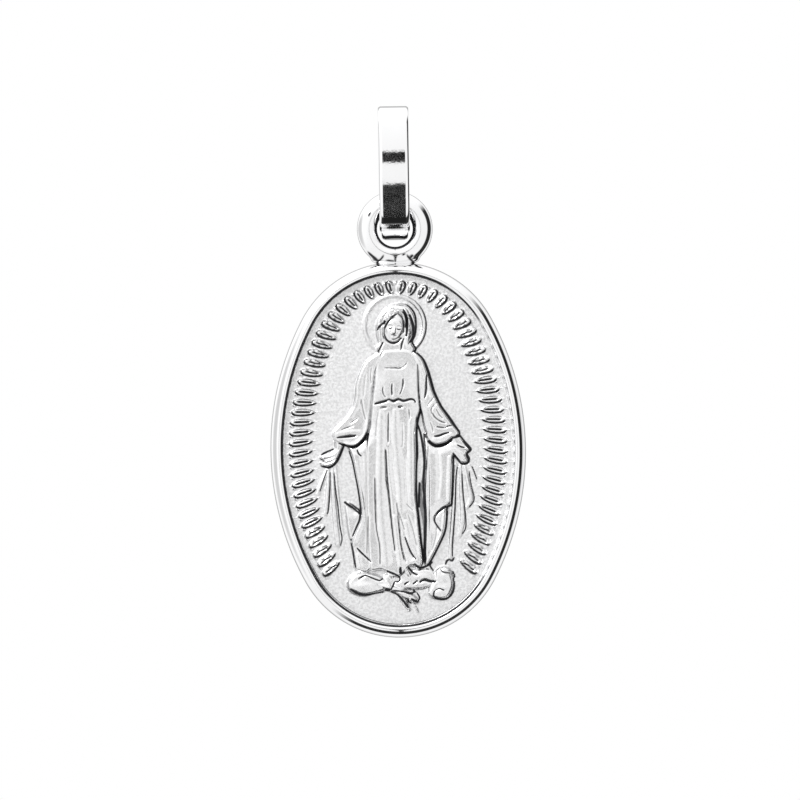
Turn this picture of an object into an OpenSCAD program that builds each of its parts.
// Oval medal on a strip bail: a struck disc with rim, relief figure and soldered ring,
// hung in a bent strip loop.
// Units are millimetres, z is up and the face of the medal looks along -y.
// The origin is where a chain bears, at the inside top of the bail.

/* [Oval] */
// width of the oval disc
oval_w = 12; // [10:0.5:20]
// height of the oval disc
oval_h = 17.65; // [14:0.05:30]
// radius of the two end arcs of the oval
end_r = 5.05; // [4:0.05:5.8]
// thickness of the rim from front to back
rim_t = 1.3; // [1:0.05:2]
// width of the rim seen from the front
rim_w = 0.68; // [0.4:0.02:1]
// depth of the front field below the top of the rim
field_d = 0.42; // [0.2:0.02:0.6]
// depth of the back field below the rim
back_d = 0.15; // [0.05:0.05:0.4]

/* [Ring] */
// outside radius of the soldered ring
ring_r = 1.78; // [1.2:0.02:2.4]
// radius of the hole in the ring
ring_hole_r = 0.84; // [0.6:0.02:1.4]
// thickness of the ring from front to back
ring_t = 0.9; // [0.6:0.05:1.4]
// rounding of the edges of the ring
ring_edge = 0.33; // [0.1:0.01:0.4]
// width of the solder foot between ring and rim
foot_w = 1.9; // [1:0.1:3]

/* [Bail] */
// width of the strip
strip_w = 1.42; // [1:0.02:2]
// thickness of the strip
strip_t = 0.43; // [0.25:0.01:0.6]
// bevel along the edges of the strip
strip_edge = 0.14; // [0.02:0.01:0.2]
// inside radius of the bend that bears the chain
top_r = 0.74; // [0.5:0.02:1]
// inside radius of the bend that bears the ring
low_r = 0.88; // [0.6:0.02:1.2]
// distance between the middles of the two bends
bend_gap = 3.435; // [2:0.005:5]
// width of the lapped end below the lower bend
lap_w = 1.24; // [0.8:0.02:1.6]
// how far the ring's wire lies above the middle of the lower bend
ring_lift = 0.15; // [0:0.01:0.3]

/* [Hidden] */
half_w = oval_w / 2;
half_h = oval_h / 2;
side_r = (half_w * half_w + half_h * half_h - 2 * half_h * end_r) / (2 * (half_w - end_r));
end_c = half_h - end_r;
side_c = side_r - half_w;
join_a = atan2(end_c, side_c);
field_y = rim_t / 2 - field_d;
back_y = rim_t / 2 - back_d;
top_c = -top_r;
low_c = top_c - bend_gap;
lean = asin((low_r - top_r) / bend_gap);
ring_mid = (ring_r + ring_hole_r) / 2;
ring_z = low_c + ring_lift - ring_mid;
medal_z = ring_z - ring_r + 0.225 - half_h;
sink = 0.06;
$fn = 48;

// A point of the oval's outline at an angle from its middle, with the outline moved in by inset.
function oval_point(a, inset) =
  let (c = cos(a), s = sin(a))
  let (t = abs(atan2(s, c)), q = t > 90 ? 180 - t : t)
  let (sx = c < 0 ? -1 : 1, sz = s < 0 ? -1 : 1)
  q > join_a
    ? [sx * (end_r - inset) * cos(q), sz * (end_c + (end_r - inset) * sin(q))]
    : [sx * ((side_r - inset) * cos(q) - side_c), sz * (side_r - inset) * sin(q)];

// The section of the disc from the field over the rim to the back: [inset from the edge, y].
disc_section = [
  [rim_w + 0.1, -field_y],
  [rim_w, -field_y - 0.06],
  for (k = [0:3]) [rim_w - 0.28 + 0.28 * cos(k * 30), -rim_t / 2 + 0.26 - 0.26 * sin(k * 30)],
  for (k = [1:3]) [0.28 - 0.28 * sin(k * 30), -rim_t / 2 + 0.24 - 0.24 * cos(k * 30)],
  for (k = [0:2]) [0.16 - 0.16 * cos(k * 45), rim_t / 2 - 0.16 + 0.16 * sin(k * 45)],
  [rim_w - 0.2, rim_t / 2],
  [rim_w, back_y]
];

// The angles that the oval is drawn at, closer together on the end arcs.
turn_n = 96;
turn_at = [for (k = [0:turn_n - 1]) let (a = k * 360 / turn_n) a - 9 * sin(2 * a)];

module disc() {
  rows = len(disc_section);
  pts = [
    for (s = disc_section)
      for (a = turn_at)
        let (p = oval_point(a, s[0]))
        [p[0], s[1], p[1]]
  ];
  skin = [
    for (i = [0:rows - 2])
      for (k = [0:turn_n - 1])
        let (a = i * turn_n + k, b = i * turn_n + (k + 1) % turn_n)
        each [[a, b, b + turn_n], [a, b + turn_n, a + turn_n]]
  ];
  front = [for (k = [0:turn_n - 1]) turn_n - 1 - k];
  back = [for (k = [0:turn_n - 1]) (rows - 1) * turn_n + k];
  polyhedron(points = pts, faces = concat(skin, [front], [back]), convexity = 4);
}

// A raised ridge along a short table of rows: [x, z, half width, height above the field].
function along(rows, i) =
  let (a = rows[max(i - 1, 0)], b = rows[min(i + 1, len(rows) - 1)])
  let (d = [b[0] - a[0], b[1] - a[1]])
  d / norm(d);
across_at = [-1, -0.82, -0.42, 0.42, 0.82, 1];
across_up = [0, 0.6, 1, 1, 0.6, 0];
function ridge_row(row, d) = [
  for (k = [0:5])
    let (n = across_at[k] * row[2])
      [row[0] - d[1] * n, sink - field_y - across_up[k] * (row[3] + sink), row[1] + d[0] * n],
  [row[0] - d[1] * row[2], 0.2, row[1] + d[0] * row[2]],
  [row[0] + d[1] * row[2], 0.2, row[1] - d[0] * row[2]]
];
// A solid through sections of n points each, with its first and last section closed off or joined.
module loft(sections, joined = false) {
  n = len(sections[0]);
  m = len(sections);
  pts = [for (row = sections) each row];
  skin = [
    for (i = [0:(joined ? m - 1 : m - 2)])
      for (k = [0:n - 1])
        let (a = i * n + k, b = i * n + (k + 1) % n, d = ((i + 1) % m - i) * n)
        each [[a, b, b + d], [a, b + d, a + d]]
  ];
  first = [for (k = [1:n - 2]) [0, k + 1, k]];
  last = [for (k = [1:n - 2]) [(m - 1) * n, (m - 1) * n + k, (m - 1) * n + k + 1]];
  polyhedron(points = pts, faces = joined ? skin : concat(skin, first, last), convexity = 6);
}

module ridge(rows) {
  loft([for (i = [0:len(rows) - 1]) ridge_row(rows[i], along(rows, i))]);
}

// Each table below has the columns of ridge(), in millimetres from the middle of the oval.
// The robe from neck to hem.
robe = [
  [-0.05, 4.4, 0.3, 0.2], [-0.08, 4.0, 0.8, 0.3], [-0.1, 3.0, 1.0, 0.38],
  [-0.1, 2.3, 0.98, 0.36], [-0.12, 2.0, 0.95, 0.36],
  [-0.15, 0.5, 1.05, 0.36], [-0.2, -1.5, 1.2, 0.36], [-0.15, -3.5, 1.3, 0.36],
  [-0.1, -5.2, 1.35, 0.34], [-0.1, -5.75, 1.25, 0.26]
];
// The mantle over the left shoulder, and its fall beside the robe.
left_shoulder = [
  [-0.75, 4.45, 0.3, 0.22], [-1.2, 4.0, 0.42, 0.32], [-1.5, 3.2, 0.52, 0.36],
  [-1.65, 2.3, 0.56, 0.36], [-1.8, 1.6, 0.6, 0.32]
];
left_sleeve = [
  [-1.7, 2.0, 0.5, 0.34], [-1.95, 1.45, 0.6, 0.36], [-2.3, 0.95, 0.5, 0.34],
  [-2.65, 0.55, 0.38, 0.28]
];
left_fall = [
  [-1.75, 1.4, 0.5, 0.3], [-1.75, 0.0, 0.5, 0.24], [-1.6, -1.5, 0.45, 0.24],
  [-1.5, -3.0, 0.45, 0.24], [-1.75, -4.3, 0.5, 0.22], [-1.7, -5.5, 0.5, 0.18]
];
left_lap = [
  [-2.35, -2.4, 0.16, 0.12], [-2.2, -3.0, 0.25, 0.16], [-2.3, -4.0, 0.22, 0.14],
  [-2.3, -5.4, 0.2, 0.1]
];
right_shoulder = [
  [0.65, 4.45, 0.28, 0.22], [1.0, 3.9, 0.38, 0.32], [1.25, 3.1, 0.42, 0.36],
  [1.45, 2.2, 0.48, 0.36], [1.7, 1.4, 0.6, 0.34]
];
right_sleeve = [
  [1.7, 2.0, 0.4, 0.34], [1.95, 1.35, 0.62, 0.38], [2.15, 0.8, 0.56, 0.36],
  [2.45, 0.55, 0.36, 0.28]
];
right_fall = [
  [1.75, 1.0, 0.5, 0.3], [1.85, 0.0, 0.62, 0.26], [1.85, -1.5, 0.62, 0.26],
  [1.8, -2.6, 0.62, 0.26], [1.65, -3.8, 0.46, 0.24], [1.4, -5.0, 0.28, 0.2],
  [1.3, -5.5, 0.2, 0.14]
];
left_hand = [
  [-2.6, 0.35, 0.2, 0.22], [-2.85, 0.0, 0.3, 0.26], [-3.1, -0.3, 0.34, 0.24],
  [-3.4, -0.55, 0.2, 0.14]
];
right_hand = [
  [2.55, 0.55, 0.22, 0.22], [2.8, 0.15, 0.34, 0.26], [3.0, -0.2, 0.36, 0.24],
  [3.15, -0.55, 0.22, 0.14]
];
// The hair on both sides of the face, and the belt.
left_hair = [
  [-0.1, 6.72, 0.12, 0.2], [-0.5, 6.5, 0.2, 0.32], [-0.8, 6.05, 0.2, 0.34],
  [-0.82, 5.5, 0.2, 0.3], [-0.75, 4.95, 0.18, 0.22], [-0.8, 4.5, 0.14, 0.18]
];
right_hair = [
  [-0.1, 6.72, 0.12, 0.2], [0.25, 6.55, 0.2, 0.32], [0.55, 6.15, 0.22, 0.36],
  [0.65, 5.6, 0.22, 0.34], [0.55, 5.1, 0.2, 0.26], [0.6, 4.5, 0.14, 0.18]
];
belt = [[-1.1, 2.18, 0.13, 0.38], [-0.1, 2.22, 0.15, 0.43], [0.85, 2.2, 0.13, 0.38]];
// Folds that stand up from the robe and the mantle.
folds = [
  [[-0.75, 1.8, 0.12, 0.4], [-0.85, -1.5, 0.16, 0.42], [-0.9, -5.4, 0.18, 0.36]],
  [[-0.2, 1.8, 0.12, 0.42], [-0.2, -1.5, 0.18, 0.44], [-0.1, -5.6, 0.2, 0.36]],
  [[0.4, 1.7, 0.12, 0.42], [0.45, -1.5, 0.16, 0.44], [0.75, -5.3, 0.18, 0.36]],
  [[-1.45, 0.2, 0.1, 0.3], [-1.35, -3.0, 0.12, 0.34], [-1.4, -5.2, 0.12, 0.28]],
  [[1.5, 0.2, 0.1, 0.32], [1.45, -2.5, 0.12, 0.32], [1.3, -4.6, 0.1, 0.28]],
  [[2.1, 0.1, 0.1, 0.32], [2.15, -2.3, 0.12, 0.32]]
];
// The rays that fall from the hands.
rays = [
  [[-3.25, -0.75, 0.08, 0.12], [-3.6, -2.0, 0.1, 0.06]],
  [[-3.15, -0.75, 0.08, 0.12], [-3.2, -2.9, 0.11, 0.06]],
  [[-3.0, -0.75, 0.08, 0.12], [-2.8, -4.4, 0.14, 0.06]],
  [[2.72, -0.75, 0.07, 0.12], [2.6, -5.1, 0.12, 0.06]],
  [[2.95, -0.8, 0.08, 0.12], [2.95, -3.9, 0.14, 0.06]],
  [[3.2, -0.75, 0.08, 0.12], [3.45, -2.6, 0.12, 0.06]],
  [[3.4, -0.7, 0.06, 0.1], [3.75, -1.5, 0.06, 0.06]]
];
// The clouds and the serpent under the feet.
clouds = [
  [
    [-2.35, -6.3, 0.2, 0.14], [-1.9, -6.4, 0.36, 0.26], [-1.4, -6.45, 0.38, 0.28],
    [-0.8, -6.3, 0.3, 0.22]
  ],
  [[-1.6, -5.75, 0.16, 0.2], [-0.6, -5.85, 0.26, 0.26], [0.5, -5.8, 0.3, 0.26], [1.3, -5.8, 0.24, 0.2]],
  [[0.7, -6.25, 0.14, 0.18], [1.2, -6.3, 0.2, 0.22], [1.7, -6.35, 0.2, 0.2]],
  [[2.2, -5.5, 0.16, 0.14], [2.2, -6.1, 0.24, 0.22], [2.05, -6.65, 0.32, 0.26], [1.55, -6.85, 0.14, 0.16]]
];
serpent = [
  [-1.0, -6.3, 0.12, 0.3], [-0.4, -6.55, 0.16, 0.34], [0.0, -6.8, 0.16, 0.32],
  [0.3, -7.2, 0.14, 0.28], [0.5, -7.6, 0.08, 0.16]
];
serpent_head = [
  [0.1, -6.6, 0.1, 0.28], [0.5, -6.75, 0.13, 0.3], [0.75, -7.0, 0.14, 0.28],
  [0.6, -7.25, 0.07, 0.18]
];

// The halo, a flat turned ring behind the head.
module halo() {
  translate([-0.1, -field_y + 0.2, 5.87])
    rotate([90, 0, 0])
      rotate_extrude(angle = 266, start = -43, $fn = 72)
        polygon([[1.24, 0], [1.26, 0.25], [1.34, 0.29], [1.44, 0.29], [1.5, 0]]);
}

// The head, an egg with a plain face.
module head() {
  translate([-0.12, -field_y - 0.02, 5.72])
    rotate([0, -4, 0])
      scale([0.58, 0.4, 0.86])
        sphere(r = 1, $fn = 32);
}

// The border: small raised strokes, evenly spaced from the lower left over the top to the lower right.
border_n = 66;
border_in = 1.4;
end_l = (end_r - border_in) * (90 - join_a);
side_l = 2 * (side_r - border_in) * join_a;
function turn_of(s) =
  s < end_l ? 90 - s / (end_r - border_in) : join_a - (s - end_l) / (side_r - border_in);
module border() {
  for (k = [0:border_n - 1]) {
    s = (end_l + side_l) * (2 * k / (border_n - 1) - 1);
    a = s < 0 ? 180 - turn_of(-s) : turn_of(s);
    p = oval_point(a, 0.92);
    q = oval_point(a, 1.5 + 0.42 * abs(cos(a)));
    m = p * 0.55 + q * 0.45;
    ridge([[q[0], q[1], 0.05, 0.06], [m[0], m[1], 0.1, 0.15], [p[0], p[1], 0.05, 0.06]]);
  }
}

module relief() {
  ridge(robe);
  ridge(left_shoulder);
  ridge(left_sleeve);
  ridge(left_fall);
  ridge(left_lap);
  ridge(right_shoulder);
  ridge(right_sleeve);
  ridge(right_fall);
  ridge(left_hand);
  ridge(right_hand);
  ridge(left_hair);
  ridge(right_hair);
  ridge(belt);
  ridge(serpent);
  ridge(serpent_head);
  for (rows = folds) ridge(rows);
  for (rows = rays) ridge(rows);
  for (rows = clouds) ridge(rows);
  head();
  halo();
  border();
}

// The ring that is soldered to the rim, with rounded edges.
function ring_corner(r, y, from) = [
  for (k = [0:4]) [r + ring_edge * cos(from - k * 22.5), y + ring_edge * sin(from - k * 22.5)]
];
ring_in = ring_hole_r + ring_edge;
ring_out = ring_r - ring_edge;
ring_up = ring_t / 2 - ring_edge;
ring_section = concat(
  ring_corner(ring_in, ring_up, 180),
  ring_corner(ring_out, ring_up, 90),
  ring_corner(ring_out, -ring_up, 0),
  ring_corner(ring_in, -ring_up, -90)
);
module ring() {
  translate([0, 0, ring_z])
    rotate([90, 0, 0])
      rotate_extrude($fn = 72)
        polygon(ring_section);
  translate([-foot_w / 2, -0.3, ring_z - ring_r])
    cube([foot_w, 0.6, 0.34]);
}

module medal() {
  color([0.82, 0.82, 0.84]) {
    translate([0, 0, medal_z]) {
      disc();
      relief();
    }
    ring();
  }
}

// The section of the strip at an angle of a bend about the x axis, with 0 towards the back and
// 90 up: z is the middle of the bend and r the radius of the strip's inside face.
function strip_at(z, r, w, a) = [
  for (p = [
    [r, -w / 2 + 0.05],
    [r, w / 2 - 0.05],
    [r + 0.05, w / 2],
    [r + strip_t - strip_edge, w / 2],
    [r + strip_t, w / 2 - strip_edge],
    [r + strip_t, -w / 2 + strip_edge],
    [r + strip_t - strip_edge, -w / 2],
    [r + 0.05, -w / 2]
  ])
    [-p[1], p[0] * cos(a), z + p[0] * sin(a)]
];

// The top bend takes 17 sections and the lower bend 25; the two legs run straight between them.
top_bend = [for (k = [0:16]) strip_at(top_c, top_r, strip_w, lean + k * (180 - 2 * lean) / 16)];
low_bend = [for (k = [0:24]) strip_at(low_c, low_r, strip_w, 180 - lean + k * (180 + 2 * lean) / 24)];
lap = [for (k = [0:12]) strip_at(low_c, low_r + strip_t - 0.06, lap_w, 240 + k * 6)];

module bail() {
  color([0.88, 0.88, 0.9]) {
    loft(concat(top_bend, low_bend), joined = true);
    loft(lap);
  }
}

medal();
bail();
